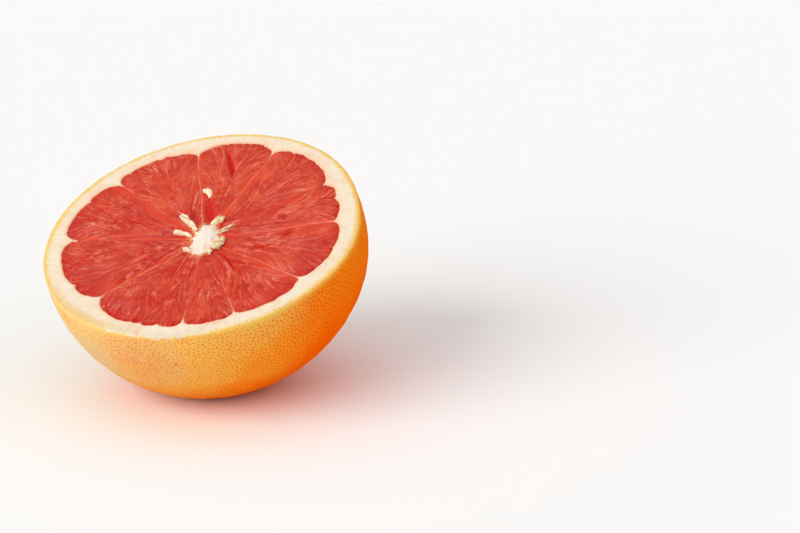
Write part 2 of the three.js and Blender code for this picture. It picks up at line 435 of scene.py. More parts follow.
# Wet juice sacs: clear red juice in thin skins. The light goes deep, threads and skins show as paler lines,
# which are partly painted glints, skins elsewhere as dark lines of painted shade, and the water on top gives
# small sharp glints.
pulp = {
    "spacing": 0.21,  # of the mesh
    "length": 42.0,  # of a segment, from core to pith
    "sink": 0.05,
    "underCore": 0.3,
    "apartAtCut": 0.04,  # from the middle of a membrane, and how far it reaches into one below the cut
    "overlap": 0.06,
    "swell": 0.3,
    "swellWidth": 3.0,
    "waver": [(0.2, 9, 70)],
    "wallRoll": 0.12,
    "wallRollWidth": 0.45,
    "sideRoll": 0.06,
    "sideRollWidth": 0.25,
    "gaps": [(1, 2.4, 71)],  # along the pith, most of them on one side
    "gapDepth": 0.8,
    "gapsAt": 225,
    "gapsWidth": 50,
    "firstRow": 3.0,
    "lastRow": 54.0,
    "rowStep": 6.5,  # from sac to sac, outwards
    "sacWidth": 2.4,
    "halfLength": 6.5,
    "lengths": (0.7, 1.5),  # the shortest and the longest, as a share of the half length
    "halfWidth": 1.2,
    "widths": (0.65, 1.4),
    "taper": 0.35,
    "spreadAtWall": 48.0,  # degrees that the outermost sacs lean to the middle of the segment
    "spreadAtCore": 22.0,
    "swerve": [(14, 15, 40)],  # degrees that their direction changes
    "warpX": [(0.3, 8, 45)],  # their outlines bend
    "warpY": [(0.3, 8, 46)],
    "strewn": 0.35,  # how far a sac lies from its place in the row, as a share of the step
    "dome": 0.12,
    "tilt": 0.09,
    "skinRound": 0.3,  # how far from its skin a sac is rounded over
    "bandWaver": [(0.5, 14, 80)],
    "calmPatches": [(0.6, 16, 81)],
    "bandCalm": 0.75,  # how much smoother the bands and the calm patches are
    "patchCalm": 0.65,
    "besideWidth": 0.6,  # of the pale edge beside a membrane
    "threadWidth": 0.44,
    "strandWidth": 1.0,
    "threadSteps": 7,  # steps that a thread and a strand are drawn out, each way
    "strandSteps": 12,
    "step": 0.4,
    "threadRelief": 0.04,
    "strandRelief": 0.05,
    "milk": 0.38,  # how milky the juice is in the middle; painted light makes it milkier, so lighter, towards +X and +Y
    "paintedLightRight": 0.006,
    "paintedLightBack": 0.0078,
    "milkPatches": [(0.5, 13, 82)],  # more of it in patches and half-way out, less where it lies calm
    "milkHalfWay": 0.3,
    "milkCalm": 0.2,
    "deep": "#B41606",
    "body": "#C93614",
    "milky": "#D65634",
    "beside": "#E2603F",
    "threadAndGlint": "#EA8A74",
    "smooth": "#DE3D1A",
    "shadowRed": "#C81404",
    "collar": "#EFB07C",
    "finish": {
        "Roughness": 0.3,
        "IOR": 1.36,
        "Specular IOR Level": 0.1,
        "Subsurface Weight": 0.4,
        "Subsurface Radius": (1.0, 0.2, 0.1),
        "Subsurface Scale": 0.002,
        "Coat Weight": 0.3,
        "Coat IOR": 1.33,
        "Coat Roughness": 0.05,
    },
}

# Creases and hollows in the cut pulp: the line along the bottom, how far each flank reaches to the left and
# to the right of it, seen along the line, and the depth
creases = [
    (((5.4, 41.7), (6.8, 36.1), (8.0, 30.0), (7.8, 26.5)), (0.3, 1.4), 1.2),
    (((1.3, 3.4), (1.4, 7.0), (0.9, 10.0), (0.6, 15.0)), (1.5, 1.4), 1.2),
    (((41.4, 8.1), (36.6, 7.2)), (0.3, 0.4), 0.6),
    (((-39.4, 22.0), (-34.0, 15.5), (-29.2, 12.1)), (0.5, 0.25), 0.45),
    (((17.0, -13.0), (20.0, -13.2), (22.5, -12.4)), (0.3, 0.5), 0.6),
    (((24.5, -10.0), (27.0, -8.2), (29.5, -7.4)), (0.5, 0.3), 0.6),
    (((-25.5, 11.0), (-24.0, 8.5), (-20.8, 6.6)), (0.5, 0.3), 0.5),
    (((-30.5, -3.6), (-27.7, -4.6), (-24.5, -5.2)), (0.4, 0.4), 0.5),
    (((8.4, -17.0), (9.3, -20.0), (10.6, -23.5)), (0.4, 0.5), 0.8),
    (((5.6, -14.0), (8.6, -17.5), (13.5, -21.0)), (0.3, 0.4), 0.6),
]


def creaseDepth(x, y):
    deepest = np.zeros(len(x))
    for path, (leftFlank, rightFlank), depth in creases:
        nearest, signed, share = np.full(len(x), np.inf), np.zeros(len(x)), np.zeros(len(x))
        for step, ((ax, ay), (bx, by)) in enumerate(zip(path, path[1:])):
            dx, dy = bx - ax, by - ay
            along = np.clip(((x - ax) * dx + (y - ay) * dy) / (dx**2 + dy**2), 0, 1)
            far = np.hypot(x - ax - along * dx, y - ay - along * dy)
            closer = far < nearest
            nearest = np.where(closer, far, nearest)
            signed = np.where(closer, np.sign(dx * (y - ay) - dy * (x - ax)), signed)
            share = np.where(closer, (step + along) / (len(path) - 1), share)
        flank = np.where(signed > 0, leftFlank, rightFlank)
        fade = np.sin(math.pi * (0.08 + 0.84 * share)) ** 0.6
        deepest = np.maximum(deepest, depth * fade * bell(nearest, flank))
    return deepest


# The way the sacs point: to the core, and those at the sides to the middle of their segment too
def flowAt(index, x, y):
    start, end = segments[index]["angle"], nextAngle(index)
    angle = np.arctan2(y - fruit["coreY"], x - fruit["coreX"])
    far = np.hypot(x - fruit["coreX"], y - fruit["coreY"])
    outwards = np.minimum(far / 44, 1) ** 2
    spread = pulp["spreadAtWall"] * outwards + pulp["spreadAtCore"] * (1 - outwards)
    sideways = np.clip(2 * turnFrom(angle, (start + end) / 2) / math.radians(end - start), -1, 1)
    lean = sideways * np.abs(sideways) ** 0.4 * spread
    lean = lean + wander(x, y, pulp["swerve"])
    return angle + math.pi + np.radians(lean)


# Every sac of one segment, each with its place, direction, size, bend, tone, height, dome and two tilts
def sacsOf(index):
    random = np.random.default_rng(300 + index)
    start = math.radians(segments[index]["angle"])
    span = math.radians(nextAngle(index)) - start
    sacs = []
    radius = pulp["firstRow"]
    while radius < pulp["lastRow"]:
        size = 0.6 + 0.4 * min(radius / 35, 1)
        count = max(2, round(span * radius / (pulp["sacWidth"] * size)))
        for k in range(count):
            angle = start + span * (k + 0.5 + random.uniform(-pulp["strewn"], pulp["strewn"])) / count
            far = radius + random.uniform(-0.5, 0.5) * pulp["rowStep"]
            x = fruit["coreX"] + far * math.cos(angle)
            y = fruit["coreY"] + far * math.sin(angle)
            towards = float(flowAt(index, x, y)) + math.radians(random.normal(0, 3))
            sac = (x, y, math.cos(towards), math.sin(towards))
            sac += (pulp["halfLength"] * size * random.uniform(*pulp["lengths"]),)
            sac += (pulp["halfWidth"] * size * random.uniform(*pulp["widths"]),)
            sac += (random.normal(0, 0.01), random.uniform(-1, 1), random.normal(0, 0.05))
            sac += (pulp["dome"] * random.uniform(-0.5, 1.5),)
            sac += (pulp["tilt"] * random.normal(), pulp["tilt"] * random.normal())
            sacs.append(sac)
        radius += pulp["rowStep"] * size
    return np.array(sacs).T


# A sheet of random numbers, one to a cell, read smoothly at any place
def readSheet(sheet, cell, x, y):
    left, low = np.floor(x / cell).astype(int), np.floor(y / cell).astype(int)
    u, v = eased(x / cell - left), eased(y / cell - low)
    size = len(sheet)
    near = sheet[left % size, low % size] * (1 - u) + sheet[(left + 1) % size, low % size] * u
    beyond = sheet[left % size, (low + 1) % size] * (1 - u) + sheet[(left + 1) % size, (low + 1) % size] * u
    return near * (1 - v) + beyond * v


# Fine threads and broad strands drawn out along the sacs, both about -2 to 2
def threadsAt(index, x, y):
    random = np.random.default_rng(77)
    fine, broad = random.normal(size=(256, 256)), random.normal(size=(256, 256))
    threads = readSheet(fine, pulp["threadWidth"], x, y)
    strands = readSheet(broad, pulp["strandWidth"], x, y)
    for way in (pulp["step"], -pulp["step"]):
        walkX, walkY = x, y
        for step in range(pulp["strandSteps"]):
            heading = flowAt(index, walkX, walkY)
            walkX = walkX + way * np.cos(heading)
            walkY = walkY + way * np.sin(heading)
            if step < pulp["threadSteps"]:
                threads = threads + readSheet(fine, pulp["threadWidth"], walkX, walkY)
            strands = strands + readSheet(broad, pulp["strandWidth"], walkX, walkY)
    return threads / threads.std(), strands / strands.std()


def pulpMesh(index):
    start = math.radians(segments[index]["angle"])
    span = math.radians(nextAngle(index)) - start
    columns = round(span * fruit["pulpBall"] / pulp["spacing"])
    rows = round(pulp["length"] / pulp["spacing"])
    mesh = sheetMesh(f"pulp_{index + 1:02d}", columns, rows, len(depthLayers) - 1)
    u, v, w = placesOf(mesh).T
    depth = np.array(depthLayers)[np.rint(-w).astype(int)]
    scale = narrowing(depth)
    angle = start + u * span
    reach = wallReach(index, angle)
    inner = coreOutline(angle) - pulp["underCore"]
    far = inner + (reach * scale - inner) * v
    thin = np.where(depth == 0, pulp["apartAtCut"], membrane["thin"] - pulp["overlap"])
    x, y = fromCoreTo(far, angle, scale, (1 - 2 * u) * thin)

    # nearest and second nearest sac, each measured along and across itself
    warpedX = x + wander(x, y, pulp["warpX"])
    warpedY = y + wander(x, y, pulp["warpY"])
    sacs = [column[None, :] for column in sacsOf(index)]
    sx, sy, dx, dy, halfLength, halfWidth, bend, tone, height, dome, tiltAcross, tiltAlong = sacs
    offX, offY = warpedX[:, None] - sx, warpedY[:, None] - sy
    along = offX * dx + offY * dy
    across = -offX * dy + offY * dx + bend * along**2
    width = halfWidth * (1 + pulp["taper"] * np.clip(along / halfLength, -1.3, 1.1))
    apart = np.hypot(along / halfLength, across / width)
    order = np.argpartition(apart, 1, axis=1)[:, :2]
    pair = np.take_along_axis(apart, order, axis=1)
    nearest = np.where(pair[:, 0] > pair[:, 1], order[:, 1], order[:, 0])
    first, second = pair.min(1), pair.max(1)
    points = np.arange(len(x))
    inAlong, inAcross, ownWidth = along[points, nearest], across[points, nearest], width[points, nearest]
    toSkin = (second - first) * ownWidth * 0.5
    crossShare, longShare = inAcross / ownWidth, inAlong / halfLength[0][nearest]

    startSide, endSide = u * span * far, (1 - u) * span * far
    fromWall, fromCore = (1 - v) * (reach - inner), v * (reach - inner)
    fromSide = np.minimum(startSide, endSide)
    band = np.zeros(len(x))
    for bandWidth, fromMembrane in zip(segments[index]["bands"], (startSide, endSide)):
        reaching = bandWidth * (0.75 + wander(x, y, pulp["bandWaver"])) + 0.01
        band = np.maximum(band, 1 - fromMembrane / np.maximum(reaching, 0.05))
    band = np.clip(band * 1.5, 0, 1)
    calm = np.clip(0.45 + wander(x, y, pulp["calmPatches"]), 0, 1)
    textured = (1 - pulp["bandCalm"] * band) * (1 - pulp["patchCalm"] * calm)
    beside = clarity(index, far) * np.exp(-startSide / pulp["besideWidth"])
    beside = beside + clarity(index + 1, far) * np.exp(-endSide / pulp["besideWidth"])

    pillow = 1 - np.exp(-np.minimum(np.minimum(fromSide, fromWall), fromCore) / pulp["swellWidth"])
    rounded = 1 - np.exp(-toSkin / pulp["skinRound"])
    domed = dome[0][nearest] * (1 - np.clip(first, 0, 1.4) ** 2)
    tilted = tiltAcross[0][nearest] * crossShare + tiltAlong[0][nearest] * longShare
    threads, strands = threadsAt(index, x, y)
    relief = (domed + tilted + height[0][nearest]) * rounded * textured
    relief = relief + (pulp["threadRelief"] * threads + pulp["strandRelief"] * strands) * textured
    gapped = bell(turnFrom(angle, pulp["gapsAt"]), math.radians(pulp["gapsWidth"]))
    gaps = np.clip(wander(angle * 46, fromWall, pulp["gaps"]) - 0.45 + 0.3 * gapped, 0, 1)
    gaps = gaps * bell(fromWall, 0.9 + 1.1 * gapped) * np.clip(fromWall / 0.3, 0.3, 1)
    hollowDepth = creaseDepth(x, y)
    top = fruit["cutHeight"] - pulp["sink"] + pulp["swell"] * pillow + relief
    top = top + wander(x, y, pulp["waver"]) * pillow - hollowDepth
    top = top - pulp["wallRoll"] * bell(fromWall, pulp["wallRollWidth"])
    top = top - pulp["sideRoll"] * bell(fromSide, pulp["sideRollWidth"]) - pulp["gapDepth"] * gaps
    z = np.where(depth == 0, top, fruit["cutHeight"] - depth)

    along = np.clip(v, 0, 1) ** 1.8
    milk = pulp["milk"] + wander(x, y, pulp["milkPatches"])
    milk = milk + pulp["milkHalfWay"] * np.sin(math.pi * along) - pulp["milkCalm"] * calm
    # painted light: the pulp is made lighter towards +Y and +X
    milk = milk + pulp["paintedLightBack"] * y + pulp["paintedLightRight"] * x
    x, y = stray(x, y)
    setPlaces(mesh, x, y, z)
    # the third number of the grain sets each sac's fibres apart
    setAttributes(
        mesh,
        grain=np.stack([inAcross, inAlong, nearest * 7.3 + index * 131.0], 1),
        toSkin=toSkin,
        tone=tone[0][nearest],
        threads=threads,
        strands=strands,
        milk=np.clip(milk, 0, 1) * (1 - 0.8 * band),
        textured=textured,
        band=band,
        beside=np.clip(0.8 * beside, 0, 1),
        hollow=np.clip(hollowDepth / 0.9 + gaps * 2.0, 0, 1),
        fromWall=fromWall,
        fromCore=fromCore,
    )
    return mesh


def juiceSacs():
    numbers = ("toSkin", "textured", "milk", "threads", "strands", "tone")
    numbers += ("fromWall", "fromCore", "band", "beside", "hollow")
    vectors = ("grain", "fruitPlace")
    material, tree, inputs, read = newMaterial("wet juice sacs", pulp["finish"], numbers, vectors)
    textured, milk, threads, strands = [read[name] for name in ("textured", "milk", "threads", "strands")]
    place = {0: read["fruitPlace"]}

    # fibres inside a sac are about 0.3 mm wide and 4 mm long, clouds in the juice about 5 mm across, and the
    # patches and cells that break up lines and edges about 2 and 0.7 mm
    drawnOut = {"operation": "MULTIPLY", 1: (1.8, 0.15, 1.0)}
    alongSac = {0: addNode(tree, "VectorMath", drawnOut, {0: read["grain"]})[0]}
    fibre = addNode(tree, "TexNoise", {"Scale": 1.0, "Detail": 2.5, "Roughness": 0.55}, alongSac)[0]
    cloud = addNode(tree, "TexNoise", {"Scale": 0.22, "Detail": 3.0, "Roughness": 0.55}, place)[0]
    patch = addNode(tree, "TexNoise", {"Scale": 0.5, "Detail": 2.0}, place)[0]
    cell = addNode(tree, "TexNoise", {"Scale": 1.5, "Detail": 2.0}, place)[0]

    skinLine = (read["toSkin"], 0.02, 0.16, 1.0, 0.0)
    layers = [
        (pulp["body"], (strands, -1.8, 0.6, 0.2, 1.0), (read["tone"], -1.0, 1.0, 0.6, 1.0)),
        (pulp["milky"], (cloud, 0.4, 0.65, 0.0, 0.7), milk),
        (pulp["milky"], (strands, -0.2, 2.0, 0.0, 0.75), milk),
        (pulp["milky"], (fibre, 0.45, 0.7, 0.0, 0.5), milk),
        (pulp["milky"], (cell, 0.48, 0.7, 0.0, 0.55), milk),
        (pulp["deep"], (cell, 0.25, 0.45, 0.35, 0.0)),
        (pulp["deep"], (read["fromWall"], 0.0, 4.0, 0.8, 0.0), (patch, 0.35, 0.6, 0.25, 1.0)),
        (pulp["deep"], (read["fromCore"], 0.0, 20.0, 0.95, 0.0), (patch, 0.35, 0.6, 1.0, 0.25)),
        (pulp["smooth"], (read["band"], 0.0, 1.0, 0.0, 0.65)),
        (pulp["beside"], read["beside"]),
        (pulp["deep"], (threads, -2.4, -0.7, 0.75, 0.0), textured),
        # partly painted glints: the paler threads and skins also stand in for small highlights
        (pulp["threadAndGlint"], (threads, 0.8, 2.5, 0.0, 0.75), textured),
        # painted shade: dark lines along the sac edges where their pale skin does not show
        (pulp["deep"], skinLine, (patch, 0.42, 0.52, 0.85, 0.0), textured),
        (pulp["threadAndGlint"], skinLine, (patch, 0.47, 0.6, 0.0, 0.5), textured),
        (pulp["collar"], (read["fromCore"], 0.4, 2.2, 1.0, 0.0), (cell, 0.42, 0.56, 0.0, 1.0)),
        (pulp["shadowRed"], read["hollow"]),
    ]
    layColours(tree, inputs, pulp["deep"], layers)
    height = {"Height": fibre}
    addNode(tree, "Bump", {"Strength": 0.6, "Distance": 0.0002}, height, inputs["Normal"])
    addNode(tree, "Bump", {"Strength": 0.8, "Distance": 0.0003}, height, inputs["Coat Normal"])
    return material


def makePulp():
    material = juiceSacs()
    for index in range(len(segments)):
        addPiece(pulpMesh(index), material, [f"segment_{index + 1:02d}"])
    print("pulp: 11 segments")


# White pith: spongy, dry-looking and matt, and light spreads a little way inside it
pith = {
    "columns": 1000,
    "topStations": 18,
    "outerSteps": 7,
    "rough": [(0.5, 2.6, 31), (0.35, 1.3, 32), (0.5, 6, 35)],
    "relief": 0.1,
    "edgeHeight": 0.06,  # how high its top lies at the edges, and how much higher between them
    "puff": 0.08,
    "edgeSink": 0.05,
    "edgeRound": 0.3,
    "tuck": 0.25,
    "overRim": 0.14,  # how far the pith laps over the peel's inner edge, and how it dips there
    "rimDip": 0.07,
    "rimDipWidth": 0.08,
    "offPeel": 0.8,
    "raggedAt": 256,  # here the knife tore the edge
    "raggedWidth": 20,
    "ragged": [(0.5, 4.5, 21), (0.7, 1.4, 22)],  # the peel's inner edge: how much, and more where torn
    "uneven": 0.32,
    "tornMore": 0.5,
    "thinnestPeel": 0.45,
    "thickestPeel": 3.0,
    "colour": "#E7DDC9",
    "warm": "#E6C69E",
    "stain": "#E3B488",
    "yellow": "#E8C878",
    "besidePulp": "#F0B490",
    "bevel": "#E2C08A",
    "finish": {
        "Roughness": 0.75,
        "IOR": 1.4,
        "Subsurface Weight": 0.5,
        "Subsurface Radius": (1.0, 0.7, 0.4),
        "Subsurface Scale": 0.0015,
    },
}


def raggedness(roundAngle):
    return bell(turnFrom(roundAngle, pith["raggedAt"]), math.radians(pith["raggedWidth"]))


def peelInside(roundAngle, height):
    amount = pith["uneven"] + pith["tornMore"] * raggedness(roundAngle)
    x, y = 50 * np.cos(roundAngle), 50 * np.sin(roundAngle)
    ragged = amount * wander(x, y, pith["ragged"])
    thin = np.clip(fruit["peel"] - ragged, pith["thinnestPeel"], pith["thickestPeel"])
    return fruit["radius"] - thin + skinSwell(roundAngle, height)


# A point on the peel's inside at the cut, in a direction from the core
def rimFrom(angle):
    far = farTo(fruit["radius"] - fruit["peel"], angle)
    for _ in range(3):
        x, y = fromCoreTo(far, angle)
        roundAngle = np.arctan2(y, x)
        far = farTo(peelInside(roundAngle, fruit["cutHeight"]), angle)
    return far, roundAngle


def pithMesh():
    outer, top = pith["outerSteps"], pith["topStations"]
    inner = len(depthLayers)
    stations = outer + top + inner
    mesh = sheetMesh("pith_bowl", pith["columns"], stations)
    u, v, _ = placesOf(mesh).T
    angle = u * 2 * math.pi + math.radians(segments[0]["angle"])
    station = np.rint(v * stations).astype(int)
    reach = np.zeros(len(u))
    for index, one in enumerate(segments):
        start, end = math.radians(one["angle"]), math.radians(nextAngle(index))
        inside = (angle >= start - 1e-9) & (angle <= end + 1e-9)
        reach = np.where(inside, wallReach(index, angle), reach)

    # the top, from the peel inwards to the pulp
    share = eased(np.clip((station - outer) / top, 0, 1))
    edgeFar, roundAngle = rimFrom(angle)
    far = edgeFar + pith["overRim"]
    far = far + (reach - pith["tuck"] - far) * share
    x, y = fromCoreTo(far, angle)
    fromPulp, fromPeel = far - reach, edgeFar - far
    sunk = pith["edgeSink"] * fading(fromPulp, pith["edgeRound"])
    sunk = sunk + 1.5 * np.maximum(-fromPulp, 0)
    off = 1 - fading(fromPeel, pith["offPeel"])
    dive = pith["rimDip"] * bell(fromPeel + pith["overRim"], pith["rimDipWidth"])
    puffed = (pith["relief"] * wander(x, y, pith["rough"]) + pith["puff"]) * off
    topZ = fruit["cutHeight"] + pith["edgeHeight"] + puffed - sunk - dive
    x, y = stray(x, y)

    # the outer wall against the peel
    latitude = math.asin(fruit["cutHeight"] / fruit["radius"])
    polar = np.clip(station / outer, 0, 1) * (math.pi / 2 + latitude)
    height = -fruit["radius"] * np.cos(polar)
    shell = peelInside(roundAngle, height)
    outerX = shell * np.sin(polar) * np.cos(roundAngle)
    outerY = shell * np.sin(polar) * np.sin(roundAngle)

    # the inner wall, down to the foot of the segments, where it closes
    layer = np.clip(station - outer - top, 0, inner - 1)
    closes = station == stations
    depth = np.array(depthLayers)[layer]
    scale = narrowing(depth)
    innerFar = np.where(closes, 0.0, (reach - pith["tuck"]) * scale)
    innerX, innerY = stray(*fromCoreTo(innerFar, angle, scale))

    onOuter, onInner = station < outer, station > outer + top
    x = np.where(onOuter, outerX, np.where(onInner, innerX, x))
    y = np.where(onOuter, outerY, np.where(onInner, innerY, y))
    z = np.where(onOuter, -shell * np.cos(polar), np.where(onInner, fruit["cutHeight"] - depth, topZ))
    x = np.where(closes, fruit["coreX"] * scale, x)
    y = np.where(closes, fruit["coreY"] * scale, y)
    x, y = np.where(station == 0, 0.0, x), np.where(station == 0, 0.0, y)
    setPlaces(mesh, x, y, z)
    setAttributes(
        mesh,
        fromPeel=np.clip(fromPeel, 0, 20) * (~onInner),
        fromPulp=np.where(onOuter, 20, np.clip(fromPulp, 0, 20)),
        ragged=raggedness(roundAngle),
        fibre=np.stack([50 * roundAngle, far, z], 1),
    )
    return mesh


def spongyPith():
    numbers = ("fromPeel", "fromPulp", "ragged")
    vectors = ("fruitPlace", "fibre")
    material, tree, inputs, read = newMaterial("spongy white pith", pith["finish"], numbers, vectors)
    fromPeel, fromPulp, torn = [read[name] for name in numbers]
    place = {0: read["fruitPlace"]}
    x, y, _ = addNode(tree, "SeparateXYZ", {}, place)

    # pores of the sponge are about 0.6 mm, its stains about 6 mm, and its fibres run from the peel inwards
    sponge = addNode(tree, "TexNoise", {"Scale": 1.3, "Detail": 3.0, "Roughness": 0.6}, place)[0]
    stain = addNode(tree, "TexNoise", {"Scale": 0.16, "Detail": 4.0, "Roughness": 0.6}, place)[0]
    drawnOut = {"operation": "MULTIPLY", 1: (0.9, 0.25, 0.25)}
    inwards = {0: addNode(tree, "VectorMath", drawnOut, {0: read["fibre"]})[0]}
    fibre = addNode(tree, "TexNoise", {"Scale": 1.0, "Detail": 3.0, "Roughness": 0.6}, inwards)[0]

    seeped = ((x, -10.0, -40.0, 0.0, 1.0), (y, -12.0, 10.0, 0.0, 1.0))
    leftFront = ((x, -16.0, -32.0, 0.0, 1.0), (y, -18.0, -32.0, 0.0, 1.0))
    whole = ((torn, 0.05, 0.45, 1.0, 0.0), (y, -43.0, -36.0, 0.2, 1.0))
    layers = [
        (pith["warm"], (fibre, 0.42, 0.7, 0.05, 0.55)),
        (pith["stain"], (stain, 0.5, 0.66, 0.0, 1.0), (torn, 0.0, 1.0, 0.45, 0.85)),
        (pith["besidePulp"], (fromPulp, 0.0, 3.0, 0.35, 0.0), (y, -5.0, 30.0, 0.1, 1.0)),
        (pith["besidePulp"], (fromPulp, 0.0, 0.9, 0.8, 0.0)),
        (pith["yellow"], (fromPeel, 0.0, 1.2, 0.9, 0.0), *whole),
        (pith["yellow"], (fromPeel, 0.0, 2.0, 0.7, 0.0), *seeped),
        (pith["bevel"], (fromPeel, 1.2, 2.5, 0.9, 0.0), *leftFront),
    ]
    layColours(tree, inputs, pith["colour"], layers)
    relief = {"Strength": 0.5, "Distance": 0.00025}
    addNode(tree, "Bump", relief, {"Height": sponge}, inputs["Normal"])
    return material


def coreMesh():
    top, layers = core["rings"], len(depthLayers)
    stations = top + layers
    mesh = sheetMesh("core", core["columns"], stations)
    u, v, _ = placesOf(mesh).T
    station = np.rint(v * stations).astype(int)
    angle = u * 2 * math.pi
    outline = coreOutline(angle) + wander(6 * np.cos(angle), 6 * np.sin(angle), core["uneven"])
    share = np.clip(station / top, 0, 1)
    layer = np.clip(station - top, 0, layers - 1)
    depth = np.array(depthLayers)[layer]
    scale = narrowing(depth)
    closes = station == stations
    far = np.where(closes, 0.0, outline * share)
    x, y = fromCoreTo(far, angle, scale)
    dome = core["dome"] * (1 - share**2.5) + wander(x, y, core["bumps"]) - core["edgeDrop"] * share**8
    z = fruit["cutHeight"] - depth + np.where(depth == 0, dome, 0)
    x, y = stray(x, y)
    setPlaces(mesh, x, y, z)
    fibre = np.stack([4 * np.cos(angle), 4 * np.sin(angle), far * 0.15], 1)
    setAttributes(mesh, fromMiddle=share, fibre=fibre)
    return mesh


def smoothCore():
    material, tree, inputs, read = newMaterial("smooth white core", core["finish"], ["fromMiddle"], ["fibre"])
    # fibres fan out from the middle, about 0.5 mm wide at the edge
    fibre = addNode(tree, "TexNoise", {"Scale": 1.4, "Detail": 2.0}, {0: read["fibre"]})[0]
    relief = {"Strength": 0.3, "Distance": 0.0001}
    shaded = (core["shade"], (fibre, 0.42, 0.62, 0.3, 1.0), (read["fromMiddle"], 0.45, 1.0, 0.0, 0.7))
    layColours(tree, inputs, core["colour"], [shaded])
    addNode(tree, "Bump", relief, {"Height": fibre}, inputs["Normal"])
    return material


def membraneMesh(index):
    one = segments[index]
    columns, stations = membrane["columns"], membrane["stations"]
    mesh = sheetMesh(f"membrane_{index + 1:02d}", columns, stations, len(depthLayers) - 1)
    u, v, w = placesOf(mesh).T
    depth = np.array(depthLayers)[np.rint(-w).astype(int)]
    scale = narrowing(depth)
    angle = np.full(len(u), math.radians(one["angle"]))
    reach = np.maximum(wallReach(index, angle), wallReach(index - 1, angle))
    inner = coreOutline(angle) - membrane["underCore"]
    far = inner + (reach * scale + membrane["intoPith"] - inner) * v
    x, y = fromCoreTo(far, angle, scale, (2 * u - 1) * membraneHalf(far, reach * scale))
    clear = clarity(index, far)
    ridge = np.interp(clear, (0, 0.4, 1), (-0.25, -0.02, 0.05)) - 0.08 * (2 * u - 1) ** 2
    z = fruit["cutHeight"] - pulp["sink"] - depth + np.where(depth == 0, ridge, 0)
    x, y = stray(x, y)
    setPlaces(mesh, x, y, z)
    setAttributes(mesh, clear=clear, atPith=fading(reach - far, 0.8), atCore=fading(far - 6.0, 2.0))
    return mesh


def wetMembrane():
    numbers = ("clear", "atCore", "atPith")
    material, tree, inputs, read = newMaterial("wet membrane", membrane["finish"], numbers)
    layers = [
        (membrane["colour"], read["clear"]),
        (membrane["tan"], read["atCore"]),
        (membrane["pale"], read["atPith"]),
    ]
    layColours(tree, inputs, membrane["faint"], layers)
    return material


def makePith():
    addPiece(pithMesh(), spongyPith(), ["pith"], lowest=fruit["peel"])
    addPiece(coreMesh(), smoothCore(), ["pith"])
    wet = wetMembrane()
    for index in range(len(segments)):
        addPiece(membraneMesh(index), wet, ["pith"])
    print("pith: bowl, core and 11 membranes")


# Waxed rind: a thin skin full of oil glands. Each gland is a deeper orange dot in a shallow pit, and the
# wax gives a soft broad sheen.
rind = {
    "grid": 296,
    "glandSpacing": 1.58,
    "glandJitter": 0.45,
    "glandsBelow": 9,  # none are needed higher than this
    "evenings": 8,  # rounds in which crowded glands move apart
    "evening": 0.35,  # how far they move each time
    "lumps": [(0.06, 6, 51), (0.03, 2.2, 52)],
    "pitDepth": 0.06,
    "pitWidth": 0.4,
    "blushPlace": (-20.0, -47.0, -8.0),
    "blushSize": 13,
    "rimRings": 8,  # rings of the rounded rim and the inner face
    "edge": 0.35,  # how far the cut edge is rounded
    "yellow": "#D6BC8A",
    "golden": "#F2B252",
    "paleGold": "#EEC064",
    "amber": "#FA9F20",
    "orange": "#FF6A00",
    "gland": "#E44000",
    "paleGland": "#E07420",
    "blush": "#DC9460",
    "blushDot": "#DB7848",
    "rim": "#F4C64C",
    "deepOrangeRim": "#F4A024",
    "paleRim": "#F0DC98",
    "rimInside": "#E8CC80",
    "cutGland": "#DCAE58",
    "bared": "#E2D4BA",
    "bevel": "#E4BE80",
    "underside": "#FC7008",
    "scuff": "#EFC0A4",
    "spot": "#C84A24",
    "scar": "#D07C3E",
    "finish": {
        "Roughness": 0.42,
        "IOR": 1.42,
        "Specular IOR Level": 0.0,
        "Subsurface Weight": 0.2,
        "Subsurface Radius": (1.0, 0.45, 0.1),
        "Subsurface Scale": 0.0015,
    },
}

# Small blemishes of the skin: their kind, place, size across half of it, and strength
rindMarks = [
    ("scuff", (-19.0, -47.7, -7.9), 0.8, 0.55),
    ("scuff", (-18.0, -48.1, -8.1), 0.7, 0.5),
    ("spot", (-8.5, -50.4, -9.5), 0.7, 0.6),
    ("scar", (-42.3, -30.1, -1.0), 1.3, 0.85),
    ("scar", (-41.2, -31.6, -2.4), 1.2, 0.8),
]


def glandPlaces():
    random = np.random.default_rng(7)
    count = round(4 * math.pi * fruit["radius"] ** 2 / (0.866 * rind["glandSpacing"] ** 2))
    step = np.arange(count)
    z = 1 - (2 * step + 1) / count
    turn = step * math.pi * (3 - math.sqrt(5))
    flat = np.sqrt(1 - z * z)
    places = np.stack([flat * np.cos(turn), flat * np.sin(turn), z], 1) * fruit["radius"]
    places += random.normal(0, rind["glandJitter"] * rind["glandSpacing"], places.shape)
    places = places[places[:, 2] < rind["glandsBelow"]]
    for _ in range(rind["evenings"]):
        tree = searchTree(places)
        # the nearest seven are the gland itself and the six round it
        around = np.array([[near[1] for near in tree.find_n(place, 7)] for place in places])[:, 1:]
        away = places[:, None, :] - places[around]
        apart = np.linalg.norm(away, axis=2, keepdims=True) + 1e-6
        push = np.clip(rind["glandSpacing"] - apart, 0, None) * away / apart
        places = places + rind["evening"] * push.sum(1)
        places *= fruit["radius"] / np.linalg.norm(places, axis=1)[:, None]
    return places / fruit["radius"], random


